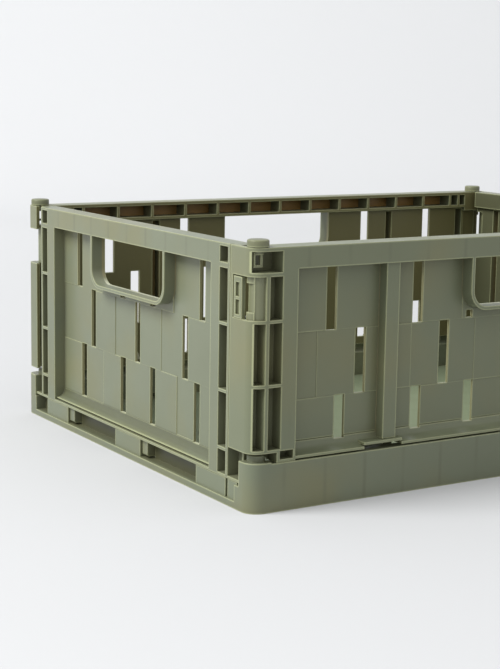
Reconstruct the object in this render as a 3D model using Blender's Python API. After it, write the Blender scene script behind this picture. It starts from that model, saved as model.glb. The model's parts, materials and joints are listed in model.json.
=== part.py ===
"""Collapsible storage crate, 400 x 300 x 151 mm, modelled as the mouldings it is assembled from.

Frame: origin at the centre of the footprint on the ground, X along the 400 mm side, Y along the
300 mm side, +Z up.  Front is -Y and left is -X.  Lengths are in millimetres and become metres
when a mesh is made.

The crate is a base tray, two end walls that fold inwards first on low hinges, two long walls that
fold inwards on top of them on higher hinges, two latch clips at opposite corners, and four
stacking knobs in the top corners.  Only the front and left walls are modelled: the opposite walls
are the same mouldings turned half a turn about Z.
"""
import math
import bpy
import bmesh
from mathutils import Matrix, Vector

MM = 0.001
SIDES = (-1, 1)
OVER = 1.0                            # usual overshoot of a cutter past the surface it opens

# ---------------------------------------------------------------- shared dimensions
LENGTH, WIDTH = 400.0, 300.0          # footprint of the base tray
HALF_X, HALF_Y = LENGTH / 2, WIDTH / 2
RIM_TOP, RIM_BOTTOM = 147.0, 134.8    # band round the top of every wall
RIM_WALL = 2.2                        # outer skin of the rim in front of its pockets
RIM_POCKET_Z = (RIM_BOTTOM + 2.0, RIM_TOP - 2.2)
RIM_RIB_HALF = 1.0                    # half thickness of the ribs between the rim pockets
HOLLOW_SKIN = 2.0                     # outer skin of the hollow stiles and ribs
HOLLOW_TOP = RIM_BOTTOM - 1.4
HOLLOW_SIDE = 1.8                     # side walls of the hollow stiles and ribs
PANEL_T = 2.0                         # thickness of the slatted panels
ROW_1, ROW_2 = 97.6, 59.8             # heights where the rows of slots change
ROW_GAP = 0.01                        # keeps the slots of two rows from touching
SLOT_HALF = 3.5                       # half width of the slots
SLOT_TOP = RIM_BOTTOM - 0.6

# handle holes and the lips round them
LIP = 2.2
HOLE_RADIUS, LIP_RADIUS = 10.0, 12.0
LIP_TOP = RIM_TOP - 8

# corner columns of the long walls, whose skins wrap round the crate's ends
SKIN = 2.4
SKIN_FACE = HALF_X - 0.4

# hinges
PIN_RADIUS, BORE_RADIUS, PIN_STEPS = 1.8, 2.2, 16
LONG_AXIS_Y, LONG_AXIS_Z = 14.0 - HALF_Y, 26.5
END_AXIS_X, END_AXIS_Z = 8.0 - HALF_X, 9.5
END_LUGS = ((-29.0, -21.7), (76.0, 83.0))      # Y spans on the left wall
END_WINDOWS = ((-88.0, -18.3), (15.7, 86.6))   # Y spans of the tray's openings for the lugs

# latch clip, at the front of the left end
CLIP_Z = (107.5, 130.4)
CLIP_PIVOT = (5.6 - HALF_X, -129.2)

# stacking knobs
KNOB_INSET = 6.9                      # from both sides of the footprint

SMOOTH_ANGLE = math.radians(32)
MERGE_DISTANCE = 0.004 * MM
DEGENERATE_LENGTH = 0.002 * MM
FLAT_ANGLE = math.radians(0.3)

# key: (material name, colour, roughness)
MATERIALS = {
    "base": ("base_plastic", (0.200, 0.215, 0.145), 0.46),
    "long": ("long_wall_plastic", (0.205, 0.222, 0.150), 0.44),
    "end": ("end_wall_plastic", (0.210, 0.226, 0.156), 0.44),
    "clip": ("clip_plastic", (0.222, 0.236, 0.158), 0.40),
    "knob": ("knob_plastic", (0.196, 0.206, 0.132), 0.42),
}


# ---------------------------------------------------------------- scene and materials
def clear_scene():
    for obj in list(bpy.data.objects):
        bpy.data.objects.remove(obj, do_unlink=True)


def make_plastic(name, colour, roughness):
    plastic = bpy.data.materials.new(name)
    plastic.use_nodes = True
    inputs = plastic.node_tree.nodes["Principled BSDF"].inputs
    inputs["Base Color"].default_value = (*colour, 1.0)
    inputs["Roughness"].default_value = roughness
    inputs["Metallic"].default_value = 0.0
    return plastic


# ---------------------------------------------------------------- solids
def new_object(solid):
    """Turns a bmesh into a linked object with its normals facing out."""
    bmesh.ops.recalc_face_normals(solid, faces=solid.faces)
    mesh = bpy.data.meshes.new("solid")
    solid.to_mesh(mesh)
    solid.free()
    obj = bpy.data.objects.new("solid", mesh)
    bpy.context.scene.collection.objects.link(obj)
    return obj


def boxes(items):
    """One object of boxes, each (x0, x1, y0, y1, z0, z1); x and y may come in either order."""
    solid = bmesh.new()
    for x0, x1, y0, y1, z0, z1 in items:
        size = Vector((abs(x1 - x0), abs(y1 - y0), z1 - z0)) * MM
        centre = Vector((x0 + x1, y0 + y1, z0 + z1)) * (0.5 * MM)
        matrix = Matrix.Translation(centre) @ Matrix.Diagonal((*size, 1.0))
        bmesh.ops.create_cube(solid, size=1.0, matrix=matrix)
    return new_object(solid)


def box(*limits):
    return boxes([limits])


def loft(sections):
    """A closed solid through sections (lists of 3D points) of equal count."""
    solid = bmesh.new()
    rings = [[solid.verts.new(Vector(point) * MM) for point in section] for section in sections]
    solid.faces.new(rings[0])
    solid.faces.new(list(reversed(rings[-1])))
    count = len(rings[0])
    for low, high in zip(rings[:-1], rings[1:]):
        for i in range(count):
            j = (i + 1) % count
            solid.faces.new((low[i], low[j], high[j], high[i]))
    return new_object(solid)


def prism(outline, axis, start, end):
    """The outline holds the two coordinates other than the axis, in X, Y, Z order."""
    place = "xyz".index(axis)
    return loft([[(*point[:place], level, *point[place:]) for point in outline]
                 for level in (start, end)])


def turned(profile, centre_x, centre_y, steps):
    """A solid of revolution about a vertical axis: (radius, z) pairs from the bottom up."""
    return loft([[(x, y, z) for x, y in circle(centre_x, centre_y, radius, steps)]
                 for radius, z in profile])


def arc(centre_a, centre_b, radius, start_deg, end_deg, steps):
    points = []
    for i in range(steps + 1):
        angle = math.radians(start_deg + (end_deg - start_deg) * i / steps)
        points.append((centre_a + radius * math.cos(angle), centre_b + radius * math.sin(angle)))
    return points


def circle(centre_a, centre_b, radius, steps):
    return arc(centre_a, centre_b, radius, 0, 360 - 360 / steps, steps - 1)


def cove(outer, bottom, reach, rise, steps):
    """Quarter-ellipse curve running inwards and up from (outer, bottom)."""
    angles = [math.pi / 2 * i / steps for i in range(steps + 1)]
    return [(outer + reach * math.sin(angle), bottom + rise * (1 - math.cos(angle)))
            for angle in angles]


def on_side(side, limits):
    """A box given for the +X side, mirrored to -X when side is -1."""
    x0, x1, *rest = limits
    return (side * x0, side * x1, *rest)


def both_ends(items):
    return [on_side(side, item) for side in SIDES for item in items]


# ---------------------------------------------------------------- Booleans
def combine(obj, other, operation):
    """Applies one exact Boolean and removes the second solid."""
    mod = obj.modifiers.new("boolean", "BOOLEAN")
    mod.operation = operation
    mod.solver = "EXACT"
    mod.object = other
    depsgraph = bpy.context.evaluated_depsgraph_get()
    mesh = bpy.data.meshes.new_from_object(obj.evaluated_get(depsgraph))
    obj.modifiers.clear()
    old = obj.data
    obj.data = mesh
    bpy.data.meshes.remove(old)
    bpy.data.objects.remove(other, do_unlink=True)


def union(obj, *others):
    for other in others:
        combine(obj, other, "UNION")


def cut(obj, *others):
    for other in others:
        combine(obj, other, "DIFFERENCE")


# ---------------------------------------------------------------- finishing and placing
def tidy(obj):
    """Merges the Boolean's coincident points and clears edges inside flat faces."""
    solid = bmesh.new()
    solid.from_mesh(obj.data)
    bmesh.ops.remove_doubles(solid, verts=solid.verts, dist=MERGE_DISTANCE)
    bmesh.ops.dissolve_degenerate(solid, dist=DEGENERATE_LENGTH, edges=solid.edges)
    bmesh.ops.dissolve_limit(solid, angle_limit=FLAT_ANGLE, use_dissolve_boundaries=False,
                             verts=solid.verts, edges=solid.edges)
    bmesh.ops.recalc_face_normals(solid, faces=solid.faces)
    solid.to_mesh(obj.data)
    solid.free()


def finish(obj, name, plastic, pivot):
    """Names a piece, gives it its material and puts its origin on the pivot (mm)."""
    tidy(obj)
    obj.name = name
    obj.data.name = name
    obj.data.materials.clear()
    obj.data.materials.append(plastic)
    pivot = Vector(pivot) * MM
    obj.data.transform(Matrix.Translation(-pivot))
    obj.location = pivot
    obj.data.shade_smooth()
    obj.data.set_sharp_from_angle(angle=SMOOTH_ANGLE)
    return obj


def half_turn_copy(obj, name):
    """The same moulding on the opposite side: shares the mesh, turned half a turn about Z."""
    copy = bpy.data.objects.new(name, obj.data)
    bpy.context.scene.collection.objects.link(copy)
    copy.location = (-obj.location.x, -obj.location.y, obj.location.z)
    copy.rotation_euler = (0.0, 0.0, math.pi)
    return copy


def parent_keep(obj, parent):
    """Parents a piece without moving it."""
    bpy.context.view_layer.update()
    obj.parent = parent
    obj.matrix_parent_inverse = parent.matrix_world.inverted()


# ---------------------------------------------------------------- features of both walls
def handle_outline(half, bottom, top, radius, shift):
    """Square at the top, rounded at the two lower corners."""
    points = [(half, top), (-half, top)]
    points += arc(-half + radius, bottom + radius, radius, 180, 270, 8)
    points += arc(half - radius, bottom + radius, radius, 270, 360, 8)
    return [(along + shift, z) for along, z in points]


def handle_hole(half, bottom, shift=0.0):
    return handle_outline(half, bottom, RIM_BOTTOM, HOLE_RADIUS, shift)


def handle_lip(half, bottom, shift=0.0):
    return handle_outline(half + LIP, bottom - LIP, LIP_TOP, LIP_RADIUS, shift)


def slot_spans(rows):
    """(low, high, reach, bottom, top) of every slot in a table of rows."""
    return [(centre - half, centre + half, reach, bottom, top)
            for centres, half, reach, bottom, top in rows for centre in centres]


def rim_spans(pitch, count):
    """Spans between the rim's ribs, count of them each way from the middle."""
    return [(pitch * i + RIM_RIB_HALF, pitch * (i + 1) - RIM_RIB_HALF)
            for i in range(-count, count)]


# ---------------------------------------------------------------- long wall (front, facing -Y)
LONG_FACE = 0.7 - HALF_Y              # outer face of the frame
LONG_PANEL_DEPTH = 9.0
LONG_PANEL = LONG_FACE + LONG_PANEL_DEPTH      # outer face of the recessed panel
LONG_INNER = LONG_PANEL + PANEL_T     # inner face of the panel
LONG_RIM_INNER = 15.0 - HALF_Y
LONG_BOTTOM = 28.7
LONG_FRAME_TOP = RIM_TOP - 6          # the panel and uprights end inside the rim
LONG_FLANGE = 1.5                     # thickness of the flange along the foot
LONG_COVE_RISE = 5.8
LONG_HANDLE = (46.6, 105.4)           # half width and bottom of the hole
LONG_RIM_PITCH, LONG_RIM_COUNT = 27.3, 6

COLUMN_EDGE = HALF_X - 20.0           # inboard edge of the corner column
COLUMN_BOTTOM = 33.6
COLUMN_BACK = -139.0
STILE_EDGE = HALF_X - 29.5            # inboard edge of the stile beside the column
MID_RIB = (99.9, 109.2)               # the two ribs that split the wall in three
MID_RIB_FACE = LONG_FACE + 2.2        # they stand back from the frame
# side: (rounding of the column, how far its skin wraps round the crate's end)
COLUMNS = {-1: (8.0, 24.6), 1: (5.0, 15.0)}

FOOT_EDGES = (-COLUMN_EDGE, -123.3, -96.6, 96.6, 123.3, COLUMN_EDGE)
FOOT_STEP = 2.3                       # rise of the foot over the two hinges
KNUCKLES = ((97.0, 102.0), (119.6, 124.6))
KNUCKLE_RADIUS = 4.0
LONG_PIN = (98.0, 123.6)

# slot centres along X, half width, reach in front of the panel, bottom, top
LONG_SLOTS = (
    ((-142.0, -81.0, 81.0, 142.0), SLOT_HALF, 0.5, ROW_1, SLOT_TOP),
    ((-121.4, -60.7, 0.0, 60.7, 121.4), SLOT_HALF, 0.5, ROW_2, ROW_1 - ROW_GAP),
    ((-135.2, -80.7, -41.0, 41.0, 80.7, 135.2), SLOT_HALF, 1.2, 34.7, ROW_2 - ROW_GAP),
    ((-42.4, 42.4), 2.4, 0.5, ROW_1 + 0.4, 102.6),
)

# latch notches in the two columns
NOTCH_Z = (107.4, 131.1)
NOTCH_OUT = HALF_X + 2
NOTCH_FRONT = LONG_FACE - 2
GUARD_CENTRE, GUARD_RADIUS = (-191.6, -141.3), 6.3   # curved wall in the wide column's notch
GUARD_RIGHT, GUARD_BACK = -190.5, -139.8


def column_outline(side):
    """Plan of one corner column; side is -1 at the left end and +1 at the right end."""
    radius, wrap = COLUMNS[side]
    points = [(COLUMN_EDGE, LONG_FACE)]
    points += arc(SKIN_FACE - radius, LONG_FACE + radius, radius, -90, 0, 8)
    points += [(SKIN_FACE, -HALF_Y + wrap), (SKIN_FACE - SKIN, -HALF_Y + wrap),
               (SKIN_FACE - SKIN, COLUMN_BACK), (COLUMN_EDGE, COLUMN_BACK)]
    return [(side * x, y) for x, y in points]


def add_long_frame(wall):
    union(wall, box(-COLUMN_EDGE - 2, COLUMN_EDGE + 2, LONG_FACE, LONG_RIM_INNER,
                    RIM_BOTTOM, RIM_TOP))
    parts = (
        # inner part of the corner block, beside the rim's inner edge
        (COLUMN_EDGE - 1, SKIN_FACE - SKIN - 2.5, -139.5, LONG_RIM_INNER,
         RIM_BOTTOM - 2.8, RIM_TOP),
        # inner leg that closes the corner beside the end wall
        (COLUMN_EDGE, HALF_X - 10, -139.5, -132.1, COLUMN_BOTTOM + 1.0, 105.4),
        # stile, its foot, and the web behind the tray's peg
        (STILE_EDGE, COLUMN_EDGE + 0.3, LONG_FACE, LONG_INNER, LONG_BOTTOM, LONG_FRAME_TOP),
        (STILE_EDGE, COLUMN_EDGE + 2.6, LONG_FACE, LONG_INNER,
         LONG_BOTTOM - 0.9, COLUMN_BOTTOM + 2.2),
        (COLUMN_EDGE - 0.5, COLUMN_EDGE + 5.2, -140.2, LONG_INNER, 28.9, 35.2),
        # mid rib
        (*MID_RIB, MID_RIB_FACE, LONG_INNER, LONG_BOTTOM + 4, LONG_FRAME_TOP),
    )
    for side in SIDES:
        union(wall, prism(column_outline(side), "z", COLUMN_BOTTOM, RIM_TOP))
        union(wall, *[box(*on_side(side, part)) for part in parts])


def long_foot_outline(bottom):
    top_of_flange = bottom + LONG_FLANGE
    curve = cove(LONG_FACE, top_of_flange, LONG_PANEL_DEPTH, LONG_COVE_RISE, 6)
    return [(LONG_INNER, bottom), (LONG_FACE, bottom), *curve,
            (LONG_INNER, top_of_flange + LONG_COVE_RISE)]


def add_long_foot(wall):
    """Coved foot of the panel, stepped up over the two hinges."""
    for i, (x0, x1) in enumerate(zip(FOOT_EDGES, FOOT_EDGES[1:])):
        bottom = LONG_BOTTOM + FOOT_STEP * (i % 2)
        union(wall, prism(long_foot_outline(bottom), "x", x0, x1))


def add_long_hinges(wall):
    """Knuckles either side of each tray lug, with the pin through them."""
    knuckle = [(LONG_AXIS_Y - 3.9, 31.6), (LONG_AXIS_Y - KNUCKLE_RADIUS, LONG_AXIS_Z)]
    knuckle += arc(LONG_AXIS_Y, LONG_AXIS_Z, KNUCKLE_RADIUS, 180, 360, 12)[1:]
    knuckle += [(LONG_AXIS_Y + 3.0, 34.0), (LONG_INNER + 0.5, 39.0), (LONG_INNER - 1.0, 39.0)]
    pin = circle(LONG_AXIS_Y, LONG_AXIS_Z, PIN_RADIUS, PIN_STEPS)
    for side in SIDES:
        for x0, x1 in KNUCKLES:
            union(wall, prism(knuckle, "x", side * x0, side * x1))
        union(wall, prism(pin, "x", side * LONG_PIN[0], side * LONG_PIN[1]))


def cut_long_openings(wall):
    """Handle hole and slots."""
    cut(wall, prism(handle_hole(*LONG_HANDLE), "y", LONG_FACE - 2 * OVER, LONG_INNER + 2 * OVER))
    cut(wall, boxes([(low, high, LONG_PANEL - reach, LONG_INNER + 0.5, bottom, top)
                     for low, high, reach, bottom, top in slot_spans(LONG_SLOTS)]))


def cut_long_hollows(wall):
    """Pockets open towards the inside: the ribbed rim, then the stiles and mid ribs."""
    rim_limits = (LONG_FACE + RIM_WALL, LONG_RIM_INNER + OVER, *RIM_POCKET_Z)
    last_rib = LONG_RIM_PITCH * LONG_RIM_COUNT
    pockets = [(x0, x1, *rim_limits) for x0, x1 in rim_spans(LONG_RIM_PITCH, LONG_RIM_COUNT)]
    pockets += both_ends([(last_rib + RIM_RIB_HALF, 171.6, *rim_limits),
                          (173.6, 178.8, *rim_limits)])
    cut(wall, boxes(pockets))
    cut(wall, boxes(both_ends([
        (172.2, 178.4, LONG_FACE + HOLLOW_SKIN, LONG_INNER + OVER, 38.5, HOLLOW_TOP),
        (MID_RIB[0] + HOLLOW_SIDE, MID_RIB[1] - HOLLOW_SIDE,
         MID_RIB_FACE + HOLLOW_SKIN, LONG_INNER + OVER, 41.5, HOLLOW_TOP),
    ])))


def cut_column_pockets(wall):
    """Pockets in the outside of the columns and in the feet of the stiles."""
    front = LONG_FACE - OVER
    inboard = COLUMN_EDGE + 0.5
    pocket_back = -140.6
    pockets = []
    for z_range in ((COLUMN_BOTTOM + 1.7, 70.1), (71.9, 105.6)):
        pockets.append((HALF_X - 8.9, HALF_X - 2.9, front, pocket_back, *z_range))
        pockets.append((HALF_X - 11.2, inboard, front, pocket_back, *z_range))
    pockets += [
        (HALF_X - 11.4, inboard, front, pocket_back, *NOTCH_Z),
        # front opening of the corner block
        (HALF_X - 19.2, HALF_X - 1.7, front, -137.5, 133.4, RIM_TOP - 2.2),
        # foot of the stile
        (171.9, 180.7, front, -141.5, LONG_BOTTOM + 0.7, COLUMN_BOTTOM + 0.6),
    ]
    cut(wall, boxes(both_ends(pockets)))


def cut_latch_notches(wall):
    """The wide (left) column opens for the clip, beside a curved wall with a window.

    The narrow (right) column is simply cut back.
    """
    cut(wall,
        box(-HALF_X + 9.0, -NOTCH_OUT, NOTCH_FRONT, -146.0, *NOTCH_Z),
        box(-SKIN_FACE + SKIN + 0.4, -NOTCH_OUT, -147.0, -128.1, *NOTCH_Z),
        box(-HALF_X + 7.6, -NOTCH_OUT, -141.2, -128.1, *NOTCH_Z))
    centre_x, centre_y = GUARD_CENTRE
    guard = [(GUARD_RIGHT, centre_y - GUARD_RADIUS)]
    guard += arc(centre_x, centre_y, GUARD_RADIUS, 270, 180, 8)
    guard += [(centre_x - GUARD_RADIUS, GUARD_BACK), (GUARD_RIGHT, GUARD_BACK)]
    union(wall, prism(guard, "z", NOTCH_Z[0] - 0.5, NOTCH_Z[1] + 0.5))
    cut(wall,
        box(-HALF_X - OVER, -196.6, -148.5, -139.0, 111.6, 127.4),
        box(HALF_X - 9.5, NOTCH_OUT, NOTCH_FRONT, -143.0, *NOTCH_Z),
        box(HALF_X - 5.3, NOTCH_OUT, -147.0, -134.0, *NOTCH_Z))


def cut_knob_holes(wall):
    for side in SIDES:
        hole = circle(side * (HALF_X - KNOB_INSET), -HALF_Y + KNOB_INSET, 3.6, 16)
        cut(wall, prism(hole, "z", 140.0, RIM_TOP + 2 * OVER))


def build_long_wall():
    wall = box(-COLUMN_EDGE - 0.5, COLUMN_EDGE + 0.5, LONG_PANEL, LONG_INNER,
               LONG_BOTTOM + 6, LONG_FRAME_TOP)
    add_long_frame(wall)
    union(wall, prism(handle_lip(*LONG_HANDLE), "y", LONG_FACE, LONG_INNER))
    add_long_foot(wall)
    add_long_hinges(wall)
    cut_long_openings(wall)
    cut_long_hollows(wall)
    cut_column_pockets(wall)
    cut_latch_notches(wall)
    cut_knob_holes(wall)
    return wall


# ---------------------------------------------------------------- end wall (left, facing -X)
END_FACE = 0.8 - HALF_X               # outer face of the frame
END_PANEL = END_FACE + 7.5            # outer face of the recessed panel
END_INNER = END_PANEL + PANEL_T       # inner face of the panel
END_RIM_INNER = 13.3 - HALF_X
END_STEP = -(SKIN_FACE - SKIN - 0.6)  # outer face behind the column skins
END_HALF = 131.5                      # half width over the side edges
END_BOTTOM = 15.3
END_FLANGE_TOP = END_BOTTOM + 1.5
END_TOP = RIM_TOP - 4                 # the panel and stiles end inside the rim
END_HANDLE = (47.7, 103.8, 1.2)       # half width, bottom, shift to the visible face's middle
END_RIM_PITCH, END_RIM_COUNT = 25.0, 4
# distances from the middle, in order outwards: stile, ladder of pockets, edge of the face;
# the near side (-Y) meets a wide column skin and the far side a narrow one
NEAR = {"side": -1, "stile": (103.4, 113.1), "ladder": (113.1, 121.9), "edge": 124.2}
FAR = {"side": 1, "stile": (106.8, 118.0), "ladder": (118.0, 126.2), "edge": 128.2}
# bottom and top of the ladder pockets
LADDER_Z = ((END_FLANGE_TOP, 30.3), (32.1, 63.2), (65.0, 101.2), (103.0, 133.2),
            (136.4, RIM_TOP - 1.8))
LUG_RADIUS, LUG_NECK_Z = 4.1, 16.4

# slot centres along Y, half width, reach in front of the panel, bottom, top
END_SLOTS = (
    ((-81.0, 82.7), SLOT_HALF, 0.5, ROW_1, SLOT_TOP),
    ((-61.1, -0.6, 61.9), SLOT_HALF, 0.5, ROW_2, ROW_1 - ROW_GAP),
    ((-75.4, -20.9, 18.9, 75.9), SLOT_HALF, 0.5, 24.1, ROW_2 - ROW_GAP),
    ((-20.9, 19.5), SLOT_HALF, 0.5, ROW_1 + 0.2, 101.2),
)


def add_end_frame(wall):
    union(wall, box(END_FACE, END_RIM_INNER, -NEAR["edge"], FAR["edge"], RIM_BOTTOM, RIM_TOP))
    for part in (NEAR, FAR):
        side, edge, stile = part["side"], part["edge"], part["stile"][0]
        # x0, x1, two distances from the middle, z0, z1
        parts = (
            (END_FACE, END_INNER, stile, edge, END_BOTTOM, END_TOP),
            # strips behind the column skin: wall and rim
            (END_STEP, END_INNER, edge - 0.5, END_HALF, 17.4, RIM_TOP - 2),
            (END_STEP, END_RIM_INNER, edge - 0.5, END_HALF, RIM_BOTTOM, RIM_TOP),
            # lower tab beside the tray's corner, and the flange's end over the corner step
            (END_FACE, END_INNER, edge - 0.6, 134.9, END_BOTTOM, 33.0),
            (END_FACE, END_INNER, 134.0, 137.2, END_BOTTOM, END_FLANGE_TOP),
        )
        for x0, x1, y0, y1, z0, z1 in parts:
            union(wall, box(x0, x1, side * y0, side * y1, z0, z1))


def add_end_foot(wall):
    """Coved foot with a shadow groove over the flange."""
    groove_back, groove_top = END_FACE + 3.4, END_FLANGE_TOP + 0.8
    cove_face = END_FACE + 1.6
    curve = cove(cove_face, 18.3, 6.1, 6.4, 7)
    outline = [(END_INNER, END_BOTTOM), (END_FACE, END_BOTTOM), (END_FACE, END_FLANGE_TOP),
               (groove_back, END_FLANGE_TOP), (groove_back, groove_top),
               (cove_face, groove_top), *curve, (END_INNER, 24.7)]
    union(wall, prism(outline, "y", -NEAR["stile"][0] - 0.4, FAR["stile"][0] + 0.4))


def add_end_hinges(wall):
    """Lugs in the tray's windows, each with a stub pin."""
    lug = [(END_AXIS_X - 2.6, LUG_NECK_Z), (END_AXIS_X - LUG_RADIUS, END_AXIS_Z)]
    lug += arc(END_AXIS_X, END_AXIS_Z, LUG_RADIUS, 180, 360, 12)[1:]
    lug += [(END_AXIS_X + 2.4, LUG_NECK_Z)]
    pin = circle(END_AXIS_X, END_AXIS_Z, PIN_RADIUS, PIN_STEPS)
    for y0, y1 in END_LUGS:
        union(wall, prism(lug, "y", y0, y1), prism(pin, "y", y1 - 1.0, y1 + 8.0))


def cut_end_openings(wall):
    """Handle hole and slots."""
    cut(wall, prism(handle_hole(*END_HANDLE), "x", END_FACE - 2 * OVER, END_INNER + 2 * OVER))
    cut(wall, boxes([(END_PANEL - reach, END_INNER + 0.5, low, high, bottom, top)
                     for low, high, reach, bottom, top in slot_spans(END_SLOTS)]))


def cut_end_pockets(wall):
    cut(wall, boxes([(END_FACE + RIM_WALL, END_RIM_INNER + OVER, y0, y1, *RIM_POCKET_Z)
                     for y0, y1 in rim_spans(END_RIM_PITCH, END_RIM_COUNT)]))
    front = END_FACE - OVER
    hollows, pockets = [], []
    for part in (NEAR, FAR):
        side = part["side"]
        stile_in, stile_out = part["stile"]
        ladder_in, ladder_out = part["ladder"]
        hollows.append((END_FACE + HOLLOW_SKIN, END_INNER + OVER, side * (stile_in + HOLLOW_SIDE),
                        side * (stile_out - HOLLOW_SIDE), 26.5, HOLLOW_TOP))
        for z_range in LADDER_Z:
            pockets.append((front, END_PANEL, side * ladder_in, side * ladder_out, *z_range))
        pockets.append((front, END_PANEL, side * part["edge"], side * 133.4,
                        END_FLANGE_TOP, 34.0))
    cut(wall, boxes(hollows))
    cut(wall, boxes(pockets))
    # the tab's outer border stands back behind the tray's corner
    cut(wall, boxes([(front, -195.2, side * 133.2, side * 138.0, END_FLANGE_TOP, 34.5)
                     for side in SIDES]))


def cut_clip_seat(wall):
    """Seat of the latch clip, with the holes its pivot ends turn in."""
    cut(wall,
        box(END_STEP - OVER, END_INNER + OVER, -124.8, -END_HALF - OVER, 107.0, 130.9),
        prism(circle(*CLIP_PIVOT, 1.15, 12), "z", 104.6, 133.3))


def build_end_wall():
    wall = box(END_PANEL, END_INNER, -NEAR["edge"], FAR["edge"], END_BOTTOM, END_TOP)
    add_end_frame(wall)
    union(wall, prism(handle_lip(*END_HANDLE), "x", END_FACE, END_INNER))
    add_end_foot(wall)
    add_end_hinges(wall)
    cut_end_openings(wall)
    cut_end_pockets(wall)
    cut_clip_seat(wall)
    return wall


# ---------------------------------------------------------------- base tray
TRAY_WIDE, TRAY_NARROW = 9.0, 6.0     # rounding under the wide and narrow columns
FLOOR_TOP = 3.4
SIDE_BOTTOM = 0.4                     # the sides start just above the floor's underside
RAIL_TOP, BAND_TOP, SIDE_TOP = 15.0, 4.2, 26.6
GROOVE_Y, GROOVE_HALF = -122.7, 1.2   # upright groove in the left end rail
PEG = ((5.1, 28.0), (5.1, 31.5), (4.6, 32.0))   # radius, z
TRAY_CORNERS = [(side_x, side_y) for side_x in SIDES for side_y in SIDES]
SIDE_POCKETS, SIDE_POCKET_PITCH, SIDE_POCKET_LENGTH = 13, 27.4, 25.6
COFFERS_X, COFFERS_Y = 8, 6           # grid of coffers under the floor
COFFER_HALF_X, COFFER_HALF_Y = 180.0, 132.0
COFFER_RIB, COFFER_TOP = 4.0, 1.4


def floor_outline():
    """Rounded rectangle; opposite corners share a radius."""
    points = []
    for side_x, side_y, radius, start in ((1, 1, TRAY_WIDE, 0), (-1, 1, TRAY_NARROW, 90),
                                          (-1, -1, TRAY_WIDE, 180), (1, -1, TRAY_NARROW, 270)):
        points += arc(side_x * (HALF_X - radius), side_y * (HALF_Y - radius), radius,
                      start, start + 90, 7)
    return points


def add_long_sides(tray):
    profile = [(-HALF_Y, SIDE_BOTTOM), (-139.0, SIDE_BOTTOM), (-139.0, 21.6), (-142.0, 24.6),
               (-142.0, SIDE_TOP), (-HALF_Y, SIDE_TOP)]
    for side in SIDES:
        union(tray, prism([(-side * y, z) for y, z in profile], "x",
                          -HALF_X + TRAY_WIDE, HALF_X - TRAY_WIDE))


def add_tray_corners(tray):
    """Blocks rounded outside, with a lower step on the end side and a peg on top."""
    for side_x, side_y in TRAY_CORNERS:
        radius = TRAY_WIDE if side_x * side_y > 0 else TRAY_NARROW
        # plan of the front left corner
        plan = [(-HALF_X + 13.6, -HALF_Y), (-HALF_X + 13.6, -137.5), (-HALF_X, -137.5)]
        plan += arc(-HALF_X + radius, -HALF_Y + radius, radius, 180, 270, 7)
        plan = [(-side_x * x, -side_y * y) for x, y in plan]
        union(tray,
              prism(plan, "z", SIDE_BOTTOM, 28.4),
              box(side_x * (HALF_X - 9.0), side_x * HALF_X, side_y * 133.0, side_y * 138.0,
                  SIDE_BOTTOM, 13.8),
              turned(PEG, side_x * (HALF_X - 9.2), side_y * (HALF_Y - 9.4), 24))


def add_end_rails(tray):
    """Rails with a lip along the ground and hinge bosses."""
    for side in SIDES:
        union(tray,
              box(side * (HALF_X - 1.3), side * (HALF_X - 9.4), -134.0, 134.0,
                  SIDE_BOTTOM, RAIL_TOP),
              box(side * (HALF_X - 3.0), side * HALF_X, -140.0, 140.0, SIDE_BOTTOM, BAND_TOP))
        boss = circle(-side * END_AXIS_X, END_AXIS_Z, 4.4, 20)
        for _, window_end in END_WINDOWS:
            union(tray, prism(boss, "y", -side * (window_end - 0.5), -side * (window_end + 7.0)))


def add_long_wall_lugs(tray):
    lug = [(-141.5, 8.0), (-132.3, 8.0)]
    lug += arc(LONG_AXIS_Y, LONG_AXIS_Z, 3.9, 0, 180, 14)
    lug += [(-141.5, 23.0)]
    for side_x, side_y in TRAY_CORNERS:
        union(tray, prism([(-side_y * y, z) for y, z in lug], "x",
                          side_x * 102.8, side_x * 118.8))


def cut_end_rails(tray):
    """Windows, lug openings, groove, recess at the rail's far end, and bores of both ends."""
    for side in SIDES:
        turn = -side                  # Y spans are given for the left end
        outer = side * (HALF_X + OVER)

        def opening(depth, y0, y1):
            return (outer, side * (HALF_X - depth), turn * y0, turn * y1,
                    BAND_TOP, RAIL_TOP + 0.6)

        cut(tray, boxes([opening(7.8, y0, y1) for y0, y1 in END_WINDOWS]))
        fine = [opening(13.5, lug[0] - 0.7, window[1])
                for window, lug in zip(END_WINDOWS, END_LUGS)]
        fine.append(opening(4.0, GROOVE_Y - GROOVE_HALF, GROOVE_Y + GROOVE_HALF))
        fine.append(opening(7.0, 120.0, 136.4))
        cut(tray, boxes(fine))
        bore = circle(-side * END_AXIS_X, END_AXIS_Z, BORE_RADIUS, PIN_STEPS)
        for _, window_end in END_WINDOWS:
            cut(tray, prism(bore, "y", turn * (window_end - OVER), turn * (window_end + 5.6)))


def cut_long_wall_bores(tray):
    for side_x, side_y in TRAY_CORNERS:
        bore = circle(-side_y * LONG_AXIS_Y, LONG_AXIS_Z, BORE_RADIUS, PIN_STEPS)
        cut(tray, prism(bore, "x", side_x * 101.0, side_x * 120.5))


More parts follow.
